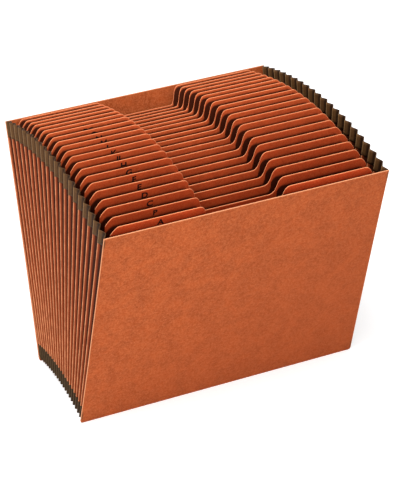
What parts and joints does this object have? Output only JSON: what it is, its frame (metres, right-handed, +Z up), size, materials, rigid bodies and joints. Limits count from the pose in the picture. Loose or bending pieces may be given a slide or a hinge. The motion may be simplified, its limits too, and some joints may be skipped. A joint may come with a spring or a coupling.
{
  "type": "expanding file",
  "caption": "Open-top accordion file standing fanned open on its two stiff covers, with tabbed index leaves held in pleated side and bottom gussets bound in tape.",
  "frame": {"origin": "on the floor, under the middle of the fanned file's bounding box", "axes": "+X along the covers to the right as seen from the front, +Y from the front cover to the back cover, +Z up"},
  "size_m": [0.305, 0.2558, 0.2694],
  "materials": {
    "cover_card": "mottled red-brown fibre card, matt with a faint sheen",
    "leaf_card": "smooth orange-red card, matt",
    "gusset_paper": "tough red-brown gusset paper, pleated, paler on the folds",
    "binding_tape": "glued olive-brown cloth tape, worn pale on the folds"
  },
  "bodies": {
    "root": {"front_cover": "cover_card", "back_cover": "cover_card", "leaf_01": "leaf_card", "leaf_02": "leaf_card", "leaf_03": "leaf_card", "leaf_04": "leaf_card", "leaf_05": "leaf_card", "leaf_06": "leaf_card", "leaf_07": "leaf_card", "leaf_08": "leaf_card", "leaf_09": "leaf_card", "leaf_10": "leaf_card", "leaf_11": "leaf_card", "leaf_12": "leaf_card", "leaf_13": "leaf_card", "leaf_14": "leaf_card", "leaf_15": "leaf_card", "leaf_16": "leaf_card", "leaf_17": "leaf_card", "leaf_18": "leaf_card", "leaf_19": "leaf_card", "leaf_20": "leaf_card", "leaf_21": "leaf_card", "left_gusset": "gusset_paper", "right_gusset": "gusset_paper", "bottom_gusset": "gusset_paper", "left_top_tape": "binding_tape", "right_top_tape": "binding_tape", "left_bottom_tape": "binding_tape", "right_bottom_tape": "binding_tape"}
  },
  "joints": []
}
